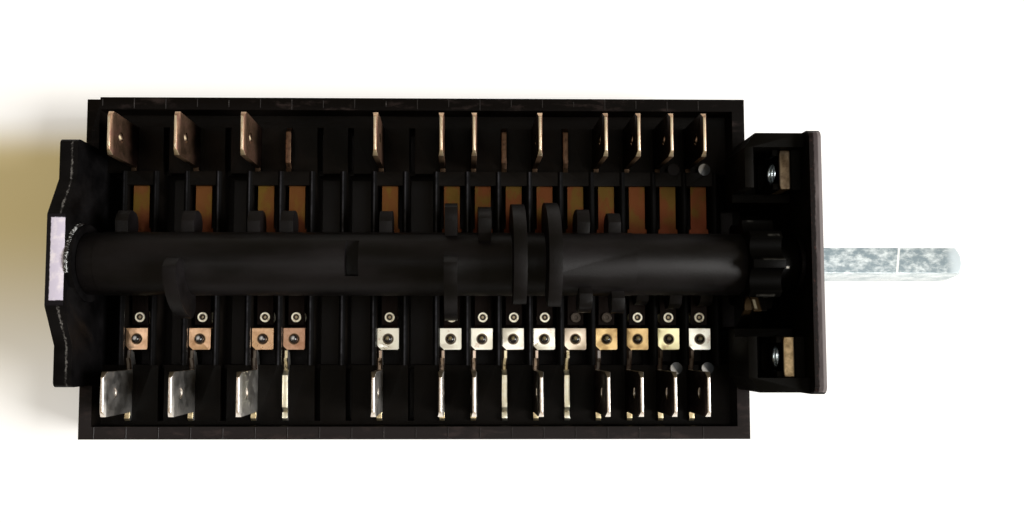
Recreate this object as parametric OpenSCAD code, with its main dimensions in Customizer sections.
// Rotary selector switch of an oven: an open contact housing with a cam shaft across it.
// X runs along the spindle towards its free end and Z points up, to the open side.
// The origin is on the spindle axis, in the outer face of the mounting flange.

/* [Contact housing] */
// Distance between neighbouring contact chambers
pitch = 4.7; // [4.5:0.1:5.5]
// Number of chambers along the housing
chambers = 19; // [19:1:21]
// Chambers that hold a contact set, counted from the far end
populated = [0, 2, 4, 5, 8, 10, 11, 12, 13, 14, 15, 16, 17, 18];
// Chambers whose terminals are short stubs without a blade
stub_chambers = [5, 12, 14];
// Housing end beyond the first chamber's centre
rear_margin = 7.45; // [7.2:0.05:9]
// Housing end beyond the last chamber's centre
front_margin = 6.45; // [6.4:0.05:8]
// Width of the housing across both terminal rows
housing_w = 50.8; // [50:0.2:56]
// Thickness of the outer walls
wall = 1.85; // [1.2:0.05:2.5]
// Thickness of the floor
floor_t = 2; // [1.4:0.1:3]
// Thickness of the ribs between the chambers
rib_t = 1; // [0.6:0.05:1.4]
// Width of the channel that the chambers fill
channel_w = 29.2; // [28.6:0.1:30]
// Height of the sill below the detent wheel's bay
sill_h = 2.4; // [1.6:0.1:3]
// Diameter of the locating pips
pip_d = 1.8; // [1.2:0.1:2]
// Height of the locating pips above the floor
pip_h = 6.8; // [5.3:0.1:7]
// Distance of the locating pips beyond the channel's edge
pip_out = 0.45; // [0.4:0.05:0.7]
// Offset of the locating pips from their chambers' centres
pip_offset = 0.8; // [0.6:0.05:1]
// Thickness of the ledge over a spring's root
ledge_t = 0.6; // [0.4:0.05:0.7]
// Step in the outer wall at the rear upper corner
corner_step = 0.35; // [0.2:0.05:0.6]
// Length of that step
corner_step_l = 1.9; // [1:0.1:3]

/* [Levels below the spindle axis] */
// Underside of the housing
axis_h = 14.2; // [14:0.1:18]
// Top edge of the outer walls
rim_drop = 3.8; // [3:0.1:4.6]
// Top of the benches that hold the terminals
bench_drop = 7; // [6.6:0.1:7.6]
// Top of the ribs
rib_drop = 5.3; // [5:0.1:5.8]
// Top face of the square lugs
lug_drop = 6; // [5.7:0.1:6.4]
// Top face of the fixed tongues
tongue_drop = 9.6; // [9.4:0.1:10]

/* [Terminals] */
// Thickness of the terminal sheet
sheet = 0.8; // [0.5:0.05:0.9]
// Width of a blade
tab_w = 6.3; // [4.8:0.1:6.3]
// Height of the blade tips above the spindle axis
tab_rise = 2.4; // [1:0.1:5]
// Chamfer at the corners of a blade's tip
tab_chamfer = 0.75; // [0.4:0.05:1.2]
// How much each face of a blade slopes in at its tip
tip_bevel = 0.2; // [0.1:0.05:0.25]
// Height of the slope at a blade's tip
tip_taper = 0.8; // [0.5:0.1:1.2]
// Diameter of the dimple in a blade
dimple_d = 1.6; // [1:0.1:2]
// Depth of the dimple
dimple_depth = 0.15; // [0.05:0.05:0.2]
// Distance of the dimple's centre below a blade's tip
dimple_drop = 3.2; // [2.8:0.1:3.6]
// Distance of the terminal rows from the housing's outer faces
tab_margin = 6.9; // [6.4:0.1:7.1]
// Offset of the blades from their chambers' centres
tab_offset = -1.44; // [-1.45:0.01:-1]
// How far a stub stands above its bench
stub_rise = 0.9; // [0.4:0.1:1.4]
// Depth of the terminal legs below the bench
leg_depth = 4.6; // [3:0.1:4.8]
// Chamfer at the ends of the terminal legs
leg_chamfer = 0.6; // [0.3:0.1:1]
// Width of the outer foot of a load terminal
foot_w = 1.3; // [0.8:0.1:1.6]
// Depth of the arms' lower edge below the lugs
arm_depth = 2.6; // [2.2:0.1:3]
// Side of the square lugs
lug_w = 3.3; // [3:0.1:3.4]
// Distance of the lug centres from the spindle axis
lug_row = 10.7; // [10.6:0.1:11.2]
// Corner cut of the lugs
lug_cut = 0.7; // [0.3:0.1:1]
// Offset of the lugs from their chambers' centres
lug_offset = -0.15; // [-0.2:0.05:0]
// Width of the post under a lug
post_w = 2.2; // [1.6:0.1:2.6]
// Width of the fixed tongue under the moving contact
tongue_w = 2.2; // [1.6:0.1:2.6]
// How far a fixed tongue reaches beyond its rivet
tongue_reach = 1.3; // [1.1:0.1:1.6]
// Diameter of the peg under each lug
peg_d = 1.3; // [1:0.1:1.6]

/* [Contacts] */
// Width of a contact spring
leaf_w = 2.4; // [1.8:0.1:2.8]
// Width of a contact spring's shoulder
shoulder_w = 2.9; // [2.6:0.1:3.2]
// Thickness of a contact spring
leaf_t = 0.3; // [0.2:0.05:0.4]
// Depth of the springs' roots below the ribs' tops
leaf_drop = 1; // [0.8:0.05:1.2]
// Slope of a spring towards its free end
leaf_slope = 2.7; // [1.5:0.1:3]
// Where a spring's slope begins, from the spindle axis
kink_row = 6; // [5:0.5:8]
// Where a spring's shoulder ends, from the spindle axis
shoulder_row = 2; // [1:0.5:4]
// How far a spring reaches beyond its rivet
leaf_reach = 1.15; // [1.05:0.05:1.3]
// Where the visible end of a contact spring leaves its ledge
ledge_row = 12.5; // [12.2:0.1:12.8]
// Distance of the contact rivets from the spindle axis
contact_row = 7.4; // [7.2:0.1:7.6]
// Diameter of the contact rivets' shanks
shank_d = 1; // [0.8:0.1:1.2]
// Diameter of the contact rivets' heads
contact_d = 2.1; // [1.8:0.1:2.2]
// Height of the contact rivets' heads
contact_h = 0.55; // [0.4:0.05:0.7]
// Diameter of the closed tails of the rivets
tail_d = 1.5; // [1.4:0.1:1.8]
// Height of the closed tails
tail_h = 0.25; // [0.15:0.05:0.4]

/* [Cam shaft] */
// Diameter of the cam shaft's core
core_d = 8.9; // [8:0.1:9.2]
// Diameter of the core under the lobes
drum_d = 9.1; // [8.9:0.1:9.4]
// Width of a lobe
lobe_w = 1.8; // [1.6:0.1:2.8]
// Offset of the lobes from their chambers' centres
lobe_offset = 0; // [-0.2:0.05:0.3]
// Angle over which a lobe rises
ramp = 14; // [8:1:20]
// Height of the step at a lobe's ends, as a part of its height
lobe_step = 0.55; // [0.3:0.05:0.7]
// Chamber up to which the core is thicker
sleeve_last = 15; // [12:1:18]
// Chamber in which the core has its notch
notch_chamber = 7; // [6:1:7]
// Length of the notch
notch_l = 1.9; // [1:0.1:2.4]
// Depth of the notch
notch_depth = 2; // [0.5:0.1:2]
// Width of the notch across the core
notch_w = 4.8; // [3.6:0.1:5]
// Distance from the notch's rear edge to its chamber's centre
notch_back = 0.6; // [0.4:0.1:0.8]
// Depth of the lobes' roots inside the core
root_depth = 0.4; // [0.3:0.05:0.6]
// Diameter of the rear journal
journal_d = 6; // [5:0.1:6.4]

/* [Detent] */
// Number of click positions in a turn
positions = 9; // [9:1:9]
// Diameter of the detent wheel over its crests
wheel_d = 13; // [12.6:0.1:13.4]
// Width of the detent wheel
wheel_w = 4.4; // [3.6:0.1:4.6]
// Radius of the scallops in the wheel
scallop_r = 1.9; // [1.6:0.05:2]
// Distance of the scallops' centres outside the crests
scallop_out = 0.7; // [0.6:0.1:1]
// Turn of the first crest at the off position
crest_turn = 4; // [0:1:20]
// Diameter of the wheel's hub
wheel_hub_d = 8; // [7:0.5:9]
// Length of the wheel's hub
wheel_hub_l = 2.9; // [2:0.1:3.2]
// Radius of the spring's nose
nose_r = 1.7; // [1.4:0.05:1.8]
// Width of the detent spring
detent_w = 1.8; // [1.6:0.1:2.6]
// Thickness of the detent spring
detent_t = 0.35; // [0.2:0.05:0.4]
// Depth below the spindle axis at which the detent spring bends away from its wall
bend_drop = 2; // [1.6:0.1:2.4]
// Reach of the detent spring's free end beyond its nose
spring_tail = 1.4; // [1:0.1:1.6]

/* [Spindle] */
// Diameter of the spindle
spindle_d = 6; // [5.6:0.1:6.4]
// Distance across the two side flats
spindle_flats = 3.7; // [3.4:0.1:5]
// Distance across the upper and lower flats
spindle_depth = 4.7; // [4.4:0.1:5.4]
// Length of the spindle outside the flange
spindle_out = 21.2; // [15:0.1:40]
// Length of the spindle inside the cam shaft
spindle_in = 16; // [10:1:30]
// Turn of the flats away from upright at the off position
flat_tilt = -10.5; // [-15:0.5:15]
// Chamfer at the spindle's tip
tip_chamfer = 0.6; // [0.3:0.1:1]
// Depth of the groove for the retaining clip
groove_depth = 0.45; // [0.3:0.05:0.6]
// Thickness of the retaining clip
clip_t = 0.6; // [0.4:0.1:0.7]
// Width of the retaining clip's ring
clip_w = 1.6; // [1:0.1:2]

/* [Mounting bracket] */
// Thickness of the mounting flange
flange_t = 1.65; // [1.4:0.05:2.5]
// Width of the mounting flange
flange_w = 36.6; // [36.4:0.1:38]
// Rounding of the flange's corners
flange_r = 1.2; // [0.6:0.1:2]
// Height of the flange's top edge above the spindle axis
flange_rise = 6; // [5.2:0.1:7]
// Distance between the two panel screws
screw_span = 26.5; // [26.3:0.1:27.5]
// Diameter of the panel screws' holes in the flange and the nuts
screw_d = 3.2; // [3:0.1:3.6]
// Width of the square nuts behind the flange
nut_w = 5.6; // [5:0.1:5.8]
// Thickness of the nuts
nut_t = 1.75; // [1.5:0.05:2]
// Thickness of the wall between the flange and a nut
nut_stand = 1.3; // [0.8:0.1:1.6]
// Diameter of the round face inside a nut's chamfered corners
nut_face_d = 6.6; // [6:0.1:7]
// Thickness of the rails that hold a nut against the flange
rail_t = 0.8; // [0.6:0.1:1]
// Width of the gap between a nut's rails
rail_gap = 4; // [3.8:0.1:4.4]
// Width of the bracket
bracket_w = 36.2; // [35.2:0.1:36.2]
// Height of the bracket's side walls above the spindle axis
bracket_rise = 4.5; // [4:0.1:5]
// Width of the bay that the detent wheel turns in
bay_w = 18.4; // [17.6:0.1:18.6]
// Depth of the tops of the walls beside the bay below the spindle axis
bay_wall_drop = 1; // [0.5:0.1:3]
// Thickness of the bracket's floor
bracket_floor = 1.4; // [1:0.1:2]
// Thickness of the bracket's back walls
bracket_back = 1.2; // [1:0.1:1.5]
// How far the bracket reaches back over the housing's end
bracket_hook = 3; // [2.4:0.1:3.4]
// Width of the slanted rear corners
slant_w = 2.1; // [1:0.1:2.6]
// Length of the slanted rear corners
slant_l = 1.5; // [0.8:0.1:2.4]

/* [Rear bearing plate] */
// Thickness of the rear plate
plate_t = 2.5; // [2.2:0.05:3]
// How far the plate stands out beyond the housing's end
plate_proud = 0.64; // [0.1:0.02:1]
// Width of the plate
plate_w = 35; // [33:0.2:36]
// Height of the plate's shoulders above the spindle axis
shoulder_rise = 2.6; // [1:0.1:3]
// Height of the plate's middle above the spindle axis
crown_rise = 5.5; // [4.8:0.1:7]
// Width of the plate's middle
crown_w = 12.6; // [9:0.2:13]
// Width over the slopes beside the middle
slope_w = 23.4; // [20:0.2:26]
// Rounding of the plate's corners
plate_r = 0.8; // [0.4:0.1:1.2]
// Diameter of the hub around the rear bearing
hub_d = 11; // [10:0.5:12]
// Thickness of the hub
hub_t = 0.9; // [0.4:0.1:1.2]

/* [Clearances] */
// Gap all round a shaft that turns in a hole
running = 0.05; // [0.02:0.01:0.08]
// Gap around a terminal leg in its slot
slot_gap = 0.05; // [0.02:0.01:0.1]
// Gap around a peg or a rivet in its hole
hole_gap = 0.03; // [0.02:0.01:0.06]
// Gap beside a plate in its seat
seat_gap = 0.05; // [0.02:0.01:0.1]
// Gap at the end of a piece that turns
end_gap = 0.15; // [0.1:0.05:0.3]

/* [Hidden] */
$fn = 48;
round_fn = 24;
eps = 0.01;
over = 1;

function two(i) = i < 10 ? str("0", i) : str(i);
function numbered(name) = [for (i = populated) str(name, "_", two(i))];
function is_stub(i) = len(search(i, stub_chambers)) > 0;

black = [0.07, 0.065, 0.065];
bronze = [0.66, 0.47, 0.29];
brass = [0.86, 0.74, 0.47];
tinned = [0.72, 0.66, 0.6];
silver = [0.85, 0.84, 0.82];
zinc = [0.74, 0.78, 0.8];

// Places along X
clip_x1 = -flange_t - end_gap;
clip_x0 = clip_x1 - clip_t;
hub_end = clip_x0 - end_gap;
wheel_x1 = hub_end - wheel_hub_l;
wheel_x0 = wheel_x1 - wheel_w;
front_x = -7.1;
last_x = front_x - front_margin;
first_x = last_x - (chambers - 1) * pitch;
rear_x = first_x - rear_margin;
plate_x0 = rear_x - plate_proud;
plate_x1 = plate_x0 + plate_t;
hub_x1 = plate_x1 + hub_t;
core_x0 = hub_x1 + end_gap;
core_x1 = wheel_x0;
socket_x = core_x1 - spindle_in;
nut_x1 = -flange_t - nut_stand;
nut_x0 = nut_x1 - nut_t;
rail_x = nut_x0 - seat_gap - rail_t;
function chamber_x(i) = first_x + i * pitch;

// Levels along Z
under_z = -axis_h;
floor_z = under_z + floor_t;
rim_z = -rim_drop;
bench_z = -bench_drop;
rib_z = -rib_drop;
lug_z = -lug_drop;
tongue_z = -tongue_drop;
leg_z = bench_z - leg_depth;
arm_z = lug_z - arm_depth;
sill_z = floor_z + sill_h;
bottom_z = under_z + bracket_floor;

// Places along Y
half_w = housing_w / 2;
half_channel = channel_w / 2;
tab_row = half_w - tab_margin;
tab_y0 = tab_row - tab_w / 2;
tab_y1 = tab_row + tab_w / 2;
lug_y0 = lug_row - lug_w / 2;
lug_y1 = lug_row + lug_w / 2;
arm_y = lug_y1 + 0.3;
half_bay = bay_w / 2;
half_nut = nut_w / 2 + seat_gap;
pocket_y0 = screw_span / 2 - half_nut;
pocket_y1 = screw_span / 2 + half_nut;

// The contact spring's middle line in the Y-Z plane, from its root to its free end
root_y = half_channel + pip_out - pip_d / 2 - slot_gap;
leaf_root_z = rib_z - leaf_drop;
leaf_end_y = -contact_row - leaf_reach;
function leaf_z(y) = leaf_root_z - max(0, kink_row - y) * tan(leaf_slope);
leaf_path = [[root_y, leaf_root_z], [kink_row, leaf_root_z], [leaf_end_y, leaf_z(leaf_end_y)]];
ledge_z = leaf_root_z + leaf_t / 2 + slot_gap;

// Lobes as [chamber, first angle, last angle, radius]; angles run from +Y towards +Z
lobes = [
    [0, -30, 8, 7.9],
    [2, -30, 8, 7.9],
    [2, 88, 188, 7.9],
    [4, -30, 8, 7.9],
    [5, -30, 8, 7.9],
    [8, -32, 8, 7.9],
    [10, -24, 34, 8.7],
    [10, 84, 196, 8.1],
    [11, -24, 52, 8.2],
    [12, -24, 146, 8.6],
    [13, -20, 148, 8.8],
    [14, -30, 20, 7.9],
    [14, 140, 182, 7.2],
    [15, -34, 6, 7.7],
    [15, 150, 184, 7.2],
    [16, 212, 244, 7.7],
    [17, 204, 240, 7.7],
    [18, 210, 242, 7.7]
];

// The detent: radius of the scallops' centres, and the place of the spring's nose in one
cut_r = wheel_d / 2 + scallop_out;
nose_turn = crest_turn + 1.5 * 360 / positions;
nose_centre = (cut_r - scallop_r + nose_r + 0.02) * [-sin(nose_turn), cos(nose_turn)];
groove_r = spindle_d / 2 - groove_depth;

// A box between two corners
module box(x0, x1, y0, y1, z0, z1) {
    translate([x0, y0, z0]) cube([x1 - x0, y1 - y0, z1 - z0]);
}

// An outline drawn in the Y-Z plane, made t thick along X from x0
module slab(x0, t) {
    translate([x0, 0, 0]) rotate([90, 0, 90]) linear_extrude(t) children();
}

// A round bar along X
module bar(x0, x1, r) {
    translate([x0, 0, 0]) rotate([0, 90, 0]) cylinder(h = x1 - x0, r = r);
}

// The outline of a strip of even thickness along a path
function left_of(a, b) = let (d = b - a) [-d[1], d[0]] / norm(d);
function side_at(p, i) =
    i == 0 ? left_of(p[0], p[1])
    : i == len(p) - 1 ? left_of(p[i - 1], p[i])
    : let (a = left_of(p[i - 1], p[i]), b = left_of(p[i], p[i + 1])) (a + b) / (1 + a * b);
function strip(p, t) = concat(
    [for (i = [0:len(p) - 1]) p[i] + side_at(p, i) * t / 2],
    [for (i = [len(p) - 1:-1:0]) p[i] - side_at(p, i) * t / 2]);

// Black base moulding: tray, benches, ribs, ledges over the springs' roots, and lug pegs
module base_housing() {
    color(black) difference() {
        union() {
            difference() {
                box(rear_x, front_x, -half_w, half_w, under_z, rim_z);
                box(rear_x + wall, front_x - wall, -half_w + wall, half_w - wall, bench_z, rim_z + over);
                box(rear_x + wall, front_x - wall, -half_channel, half_channel, floor_z, rim_z + over);
            }
            for (i = [0:chambers]) rib(chamber_x(i) - pitch / 2);
            for (i = populated) spring_ledge(chamber_x(i));
            for (i = populated) lug_post(chamber_x(i) + lug_offset);
            for (i = [chambers - 2, chambers - 1]) locating_pips(chamber_x(i));
        }
        for (i = [0:chambers - 1]) terminal_slots(chamber_x(i) + tab_offset);
        plate_seat();
        bay_opening();
        box(rear_x - over, rear_x + corner_step_l, half_w - corner_step, half_w + over,
            under_z - over, rim_z + over);
    }
}

// A partition rib with a rounded top, from the floor to just under the cam shaft
module rib(x) {
    half = rib_t / 2;
    crest_r = half - 0.03;
    crest_z = rib_z - crest_r;
    box(x - half, x + half, -half_channel - eps, half_channel + eps, floor_z - eps, crest_z);
    translate([x, half_channel + eps, crest_z]) rotate([90, 0, 0])
        cylinder(h = channel_w + 2 * eps, r = crest_r, $fn = round_fn);
}

// The ledge that holds a contact spring's root down
module spring_ledge(x) {
    box(x - pitch / 2, x + pitch / 2, ledge_row, half_channel + eps, ledge_z, ledge_z + ledge_t);
}

// The post below a lug, with the peg and its domed end
module lug_post(x) {
    post_z = lug_z - sheet;
    peg_h = sheet + 0.2;
    box(x - post_w / 2, x + post_w / 2, -lug_y1 + 0.25, -lug_y0 - sheet - 0.2, floor_z - eps, post_z);
    translate([x, -lug_row, post_z - eps]) {
        cylinder(h = peg_h, d = peg_d, $fn = round_fn);
        translate([0, 0, peg_h]) sphere(d = peg_d, $fn = round_fn);
    }
}

// Small round pips beside the last two chambers
module locating_pips(x) {
    for (side = [1, -1])
        translate([x + pip_offset, side * (half_channel + pip_out), floor_z])
            cylinder(h = pip_h, d = pip_d, $fn = round_fn);
}

// The slots that a line and a load terminal stand in
module terminal_slots(x) {
    x0 = x - sheet / 2 - slot_gap;
    x1 = x + sheet / 2 + slot_gap;
    for (side = [1, -1]) {
        y_in = side > 0 ? tab_y0 - slot_gap : -tab_y1 - foot_w - slot_gap;
        y_out = side > 0 ? tab_y1 + slot_gap : -tab_y0 + slot_gap;
        box(x0, x1, y_in, y_out, leg_z, rim_z);
    }
    box(x0, x1, half_channel - eps, tab_y0, arm_z - slot_gap, rim_z);
    box(x0, x1, -tab_y0, -half_channel + eps, arm_z - slot_gap, rim_z);
}

// The gap in the rear wall that the bearing plate drops into
module plate_seat() {
    half = plate_w / 2 + seat_gap;
    box(rear_x - over, rear_x + wall + eps, -half, half, floor_z, rim_z + over);
}

// The gap in the front wall that the detent wheel turns in
module bay_opening() {
    box(front_x - wall - eps, front_x + over, -half_bay, half_bay, sill_z, rim_z + over);
}

// One terminal of the upper row: blade, leg, and the foot under the spring's root
module line_terminal(i) {
    x = chamber_x(i) + tab_offset - sheet / 2;
    foot_z = leaf_root_z - leaf_t / 2;
    color(bronze) {
        difference() {
            slab(x, sheet) polygon(concat(
                blade_top(i, 1),
                [[tab_y1, leg_z + leg_chamfer], [tab_y1 - leg_chamfer, leg_z],
                 [tab_y0 + leg_chamfer, leg_z], [tab_y0, leg_z + leg_chamfer],
                 [tab_y0, arm_z], [ledge_row, arm_z], [ledge_row, foot_z], [tab_y0, foot_z]]));
            if (!is_stub(i)) blade_details(x, tab_row);
        }
        box(x, x + sheet + leaf_w, ledge_row, root_y - 0.1, foot_z - sheet, foot_z);
    }
}

// The blade's corners, from the inner to the outer edge; side is 1 above and -1 below
function blade_top(i, side) =
    let (top = is_stub(i) ? bench_z + stub_rise : tab_rise)
    [for (p = [[tab_y0, top - tab_chamfer], [tab_y0 + tab_chamfer, top],
               [tab_y1 - tab_chamfer, top], [tab_y1, top - tab_chamfer]]) [side * p[0], p[1]]];

// What is cut from both faces of a blade: a shallow dimple, and the slope at the tip
module blade_details(x, y) {
    dimple_z = tab_rise - dimple_drop;
    for (face = [x - over, x + sheet - dimple_depth])
        translate([face, y, dimple_z]) rotate([0, 90, 0])
            cylinder(h = over + dimple_depth, d = dimple_d, $fn = round_fn);
    for (face = [[x, 1], [x + sheet, -1]])
        translate([face[0], y + tab_w / 2 + over, tab_rise]) rotate([90, 0, 0])
            linear_extrude(tab_w + 2 * over) polygon([
                [-face[1] * tip_bevel, -2 * tip_taper],
                [face[1] * 2 * tip_bevel, tip_taper],
                [-face[1] * tip_bevel, tip_taper]]);
}

// One terminal of the lower row: blade, leg, foot, arm, square lug and the fixed tongue
module load_terminal(i) {
    x = chamber_x(i) + tab_offset - sheet / 2;
    lug_x = chamber_x(i) + lug_offset;
    foot_y = -tab_y1 - foot_w;
    tongue_y = -contact_row + tongue_reach;
    color(brass) difference() {
        union() {
            slab(x, sheet) polygon(concat(
                blade_top(i, -1),
                [[-tab_y1, bench_z + 0.6], [foot_y + 0.4, bench_z + 0.8], [foot_y, bench_z + 0.4],
                 [foot_y, leg_z + leg_chamfer], [foot_y + leg_chamfer, leg_z],
                 [-tab_y0 - leg_chamfer, leg_z], [-tab_y0, leg_z + leg_chamfer],
                 [-tab_y0, arm_z], [-arm_y, arm_z + 1.2], [-arm_y, lug_z],
                 [-arm_y - 0.9, lug_z], [-tab_y0, bench_z + 0.3]]));
            box(x, x + sheet, -arm_y - 0.5, -lug_y1 + eps, lug_z - sheet, lug_z);
            translate([0, 0, lug_z - sheet]) linear_extrude(sheet) polygon([
                [lug_x - lug_w / 2, -lug_y0], [lug_x - lug_w / 2, -lug_y1 + lug_cut],
                [x, -lug_y1], [x + sheet, -lug_y1],
                [lug_x + lug_w / 2 - 0.2, -lug_y1], [lug_x + lug_w / 2, -lug_y1 + 0.2],
                [lug_x + lug_w / 2, -lug_y0]]);
            slab(lug_x - tongue_w / 2, tongue_w) polygon([
                [-lug_y0 - sheet, lug_z - eps], [-lug_y0, lug_z - eps],
                [-lug_y0, tongue_z], [tongue_y, tongue_z],
                [tongue_y, tongue_z - sheet], [-lug_y0 - sheet, tongue_z - sheet]]);
        }
        if (!is_stub(i)) blade_details(x, -tab_row);
        translate([lug_x, -lug_row, lug_z - sheet - over])
            cylinder(h = sheet + 2 * over, d = peg_d + 2 * hole_gap, $fn = round_fn);
        translate([chamber_x(i), -contact_row, tongue_z - sheet - over])
            cylinder(h = sheet + 2 * over, d = shank_d + 2 * hole_gap, $fn = round_fn);
    }
}

// Leaf spring under the cam shaft, with a wider shoulder and the hole for its rivet
module contact_spring(i) {
    x = chamber_x(i);
    color(bronze) difference() {
        union() {
            slab(x - leaf_w / 2, leaf_w) polygon(strip(leaf_path, leaf_t));
            slab(x - shoulder_w / 2, shoulder_w)
                polygon(strip([[kink_row, leaf_root_z], [shoulder_row, leaf_z(shoulder_row)]], leaf_t));
        }
        at_spring_end(x) translate([0, 0, -over])
            cylinder(h = 2 * over, d = shank_d + 2 * hole_gap, $fn = round_fn);
    }
}

// The place of a moving contact, square to the sloping spring
module at_spring_end(x) {
    translate([x, -contact_row, leaf_z(-contact_row)]) rotate([leaf_slope, 0, 0]) children();
}

// A contact rivet: shank through the sheet, head on one side, closed tail on the other
module contact_rivet(through) {
    cylinder(h = through, d = shank_d, $fn = round_fn);
    translate([0, 0, -contact_h]) cylinder(h = contact_h, d = contact_d, $fn = round_fn);
    translate([0, 0, through]) difference() {
        cylinder(h = tail_h, d = tail_d, $fn = round_fn);
        translate([0, 0, tail_h / 2]) cylinder(h = over, d = tail_d / 2.2, $fn = round_fn);
    }
}

// The rivets of the moving contacts, one at each spring's free end
module moving_contacts() {
    color(silver)
        for (i = populated) at_spring_end(chamber_x(i))
            translate([0, 0, -leaf_t / 2]) contact_rivet(leaf_t);
}

// The rivets of the fixed contacts, one on each tongue, head up
module fixed_contacts() {
    color(silver)
        for (i = populated) translate([chamber_x(i), -contact_row, tongue_z])
            rotate([180, 0, 0]) contact_rivet(sheet);
}

// A lobe's outline: it rises from the core to its radius over the ramp at each end
function lobe_r(a, l) =
    let (near = min(a - l[1], l[2] - a), t = min(1, max(0, near / ramp)),
         root = core_d / 2 - root_depth)
    root + (l[3] - root) * (lobe_step + (1 - lobe_step) * sin(90 * t));
module lobe(l) {
    steps = ceil((l[2] - l[1]) / 5);
    angles = [for (k = [0:steps]) l[1] + (l[2] - l[1]) * k / steps];
    slab(chamber_x(l[0]) + lobe_offset - lobe_w / 2, lobe_w)
        polygon(concat([[0, 0]], [for (a = angles) lobe_r(a, l) * [cos(a), sin(a)]]));
}

// The cam shaft: core, lobes, rear journal, a notch, and the spindle's socket
module camshaft() {
    notch_x = chamber_x(notch_chamber) - notch_back;
    notch_y = -1.2;
    notch_z = core_d / 2 - notch_depth;
    color(black) difference() {
        union() {
            bar(core_x0, core_x1, core_d / 2);
            bar(chamber_x(0) - pitch / 2, chamber_x(sleeve_last) + pitch / 2, drum_d / 2);
            bar(plate_x0 + end_gap, core_x0 + over, journal_d / 2);
            for (l = lobes) lobe(l);
        }
        rotate([12, 0, 0])
            box(notch_x, notch_x + notch_l, notch_y, notch_y + notch_w, notch_z, core_d);
        spindle_socket();
    }
}

// The hole that the flatted spindle fills
module spindle_socket() {
    half = spindle_flats / 2 + hole_gap;
    half_depth = spindle_depth / 2 + hole_gap;
    rotate([flat_tilt, 0, 0]) intersection() {
        bar(socket_x, over, spindle_d / 2 + hole_gap);
        box(socket_x - over, 2 * over, -half, half, -half_depth, half_depth);
    }
}

// The scalloped wheel that gives the click positions
module detent_wheel() {
    color(black) difference() {
        union() {
            bar(wheel_x0, wheel_x1, wheel_d / 2);
            bar(wheel_x1 - eps, hub_end, wheel_hub_d / 2);
        }
        for (k = [0:positions - 1]) rotate([crest_turn + (k + 0.5) * 360 / positions, 0, 0])
            translate([0, 0, cut_r]) bar(wheel_x0 - over, wheel_x1 + over, scallop_r);
        spindle_socket();
    }
}

// The spring strip whose nose sits in a scallop; it stands against the bay's side
module detent_spring() {
    root = -half_bay + detent_t / 2;
    aim = -atan2(nose_centre[1], -nose_centre[0]);
    r_mid = nose_r - detent_t / 2;
    nose = [for (a = [aim - 72:12:aim + 84]) nose_centre + r_mid * [cos(a), sin(a)]];
    path = concat([[root, sill_z], [root, -bend_drop]], nose,
                  [nose[len(nose) - 1] + spring_tail * [-1, 0.64]]);
    color(brass) slab(wheel_x0 + 0.3, detent_w) polygon(strip(path, detent_t));
}

// A cutter that leaves four flats on a round bar between x0 and x1
module flats(x0, x1) {
    half = spindle_flats / 2;
    half_depth = spindle_depth / 2;
    rotate([flat_tilt, 0, 0]) difference() {
        box(x0, x1, -spindle_d, spindle_d, -spindle_d, spindle_d);
        box(x0 - over, x1 + over, -half, half, -half_depth, half_depth);
    }
}

// The spindle: round inside the flange, with four flats outside and in the cam shaft
module spindle() {
    color(zinc) difference() {
        union() {
            bar(socket_x + end_gap, spindle_out - tip_chamfer, spindle_d / 2);
            translate([spindle_out - tip_chamfer - eps, 0, 0]) rotate([0, 90, 0])
                cylinder(h = tip_chamfer + eps, r1 = spindle_d / 2, r2 = spindle_d / 2 - tip_chamfer);
        }
        flats(end_gap, spindle_out + over);
        flats(socket_x - over, hub_end + eps);
        difference() {
            bar(clip_x0 - seat_gap, clip_x1 + seat_gap, spindle_d);
            bar(clip_x0 - over, clip_x1 + over, groove_r);
        }
    }
}

// The open ring in the spindle's groove, which keeps it from pulling out
module retaining_clip() {
    color(zinc) difference() {
        bar(clip_x0, clip_x1, spindle_d / 2 + clip_w);
        bar(clip_x0 - over, clip_x1 + over, groove_r + hole_gap);
        box(clip_x0 - over, clip_x1 + over, -groove_r * 0.8, groove_r * 0.8, -2 * spindle_d, 0);
    }
}

// A square nut for a panel screw; side is 1 for the upper one and -1 for the lower one
module panel_nut(side) {
    y = side * screw_span / 2;
    color(zinc) difference() {
        intersection() {
            box(nut_x0, nut_x1, y - nut_w / 2, y + nut_w / 2, -nut_w / 2, nut_w / 2);
            translate([nut_x0, y, 0]) rotate([0, 90, 0])
                cylinder(h = nut_t, r1 = nut_face_d / 2, r2 = nut_face_d / 2 + 2 * nut_t);
        }
        translate([0, y, 0]) bar(nut_x0 - over, over, screw_d / 2);
    }
}

// Black bracket: flange, the pockets of the panel nuts, and the bay of the detent wheel
module front_bracket() {
    hook_x = front_x - bracket_hook;
    back_x = front_x + bracket_back;
    half = bracket_w / 2;
    color(black) difference() {
        union() {
            slab(hook_x, -hook_x - eps) polygon([[-half, rim_z], [half, rim_z],
                [half, bracket_rise], [-half, bracket_rise]]);
            box(front_x, -eps, -half, half, under_z, rim_z + eps);
            flange();
        }
        nut_pocket(hook_x + bracket_back);
        mirror([0, 1, 0]) nut_pocket(hook_x + bracket_back);
        box(hook_x - over, -flange_t, -half_bay, half_bay, rim_z - eps, bracket_rise + over);
        box(hook_x - over, -flange_t, -pocket_y0, pocket_y0, -bay_wall_drop, bracket_rise + over);
        box(front_x - over, -flange_t, -half_bay, half_bay, sill_z, rim_z);
        box(back_x, -flange_t, -half_bay, half_bay, bottom_z, sill_z + eps);
        corner_cut(hook_x, half);
        mirror([0, 1, 0]) corner_cut(hook_x, half);
        bar(-flange_t - over, over, spindle_d / 2 + running);
        for (side = [1, -1])
            translate([0, side * screw_span / 2, 0]) bar(rail_x - over, over, screw_d / 2);
    }
}

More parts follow.
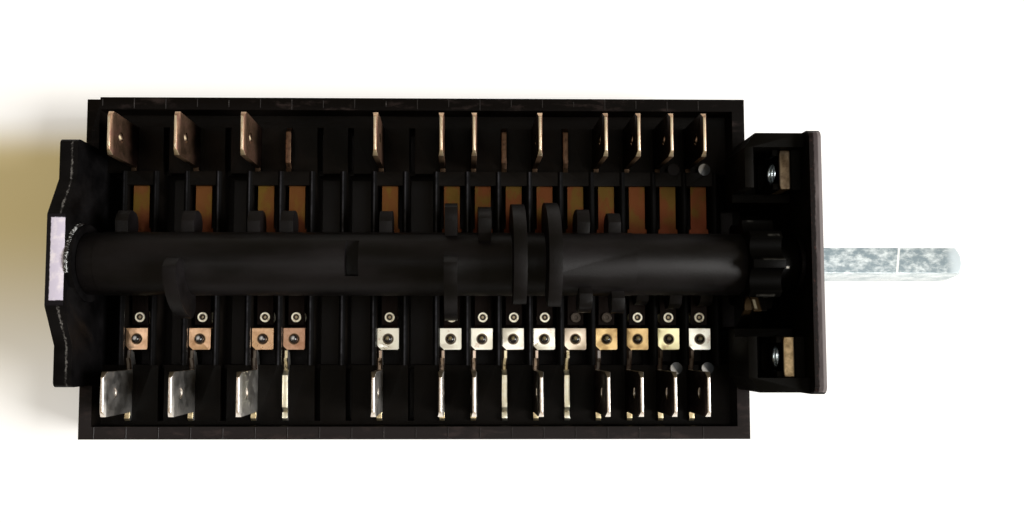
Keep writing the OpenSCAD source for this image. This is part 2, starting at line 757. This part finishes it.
// The pocket from x0 to the flange, with the slot and the rails of a nut
module nut_pocket(x0) {
    y = screw_span / 2;
    top = nut_w / 2;
    box(x0, rail_x, pocket_y0, pocket_y1, rim_z, bracket_rise + over);
    box(rail_x - eps, -flange_t, pocket_y0, pocket_y1, top, bracket_rise + over);
    box(nut_x0 - seat_gap, nut_x1 + seat_gap, y - half_nut, y + half_nut, -half_nut, top + eps);
    box(rail_x - eps, nut_x0, y - rail_gap / 2, y + rail_gap / 2, -half_nut, top + eps);
}

// The flange plate, with rounded outer corners
module flange() {
    half = flange_w / 2;
    r = flange_r;
    slab(-flange_t, flange_t) union() {
        polygon([[-half, under_z + r], [-half + r, under_z], [half - r, under_z], [half, under_z + r],
                 [half, flange_rise - r], [half - r, flange_rise], [-half + r, flange_rise],
                 [-half, flange_rise - r]]);
        for (y = [-half + r, half - r], z = [under_z + r, flange_rise - r])
            translate([y, z]) circle(r);
    }
}

// The slanted rear corner of the bracket
module corner_cut(x, y) {
    y0 = y - slant_w;
    translate([0, 0, rim_z - over]) linear_extrude(bracket_rise - rim_z + 2 * over)
        polygon([[x - over, y + over], [x - over, y0], [x, y0], [x + slant_l, y],
                 [x + slant_l, y + over]]);
}

// Black bearing plate at the far end: shoulders, raised middle, hub and bearing hole
module rear_plate() {
    half = plate_w / 2;
    color(black) difference() {
        union() {
            slab(plate_x0, plate_t) offset(r = plate_r, $fn = 32) offset(delta = -plate_r)
                polygon([[-half, floor_z], [half, floor_z], [half, shoulder_rise],
                         [slope_w / 2, shoulder_rise], [crown_w / 2, crown_rise],
                         [-crown_w / 2, crown_rise], [-slope_w / 2, shoulder_rise],
                         [-half, shoulder_rise]]);
            bar(plate_x1 - eps, hub_x1, hub_d / 2);
        }
        bar(plate_x0 - over, hub_x1 + over, journal_d / 2 + running);
    }
}

base_housing();
front_bracket();
rear_plate();
camshaft();
detent_wheel();
detent_spring();
spindle();
retaining_clip();
panel_nut(1);  // panel_nut_upper
panel_nut(-1);  // panel_nut_lower
moving_contacts();
fixed_contacts();
for (i = populated) {
    line_terminal(i);
    contact_spring(i);
    load_terminal(i);
}
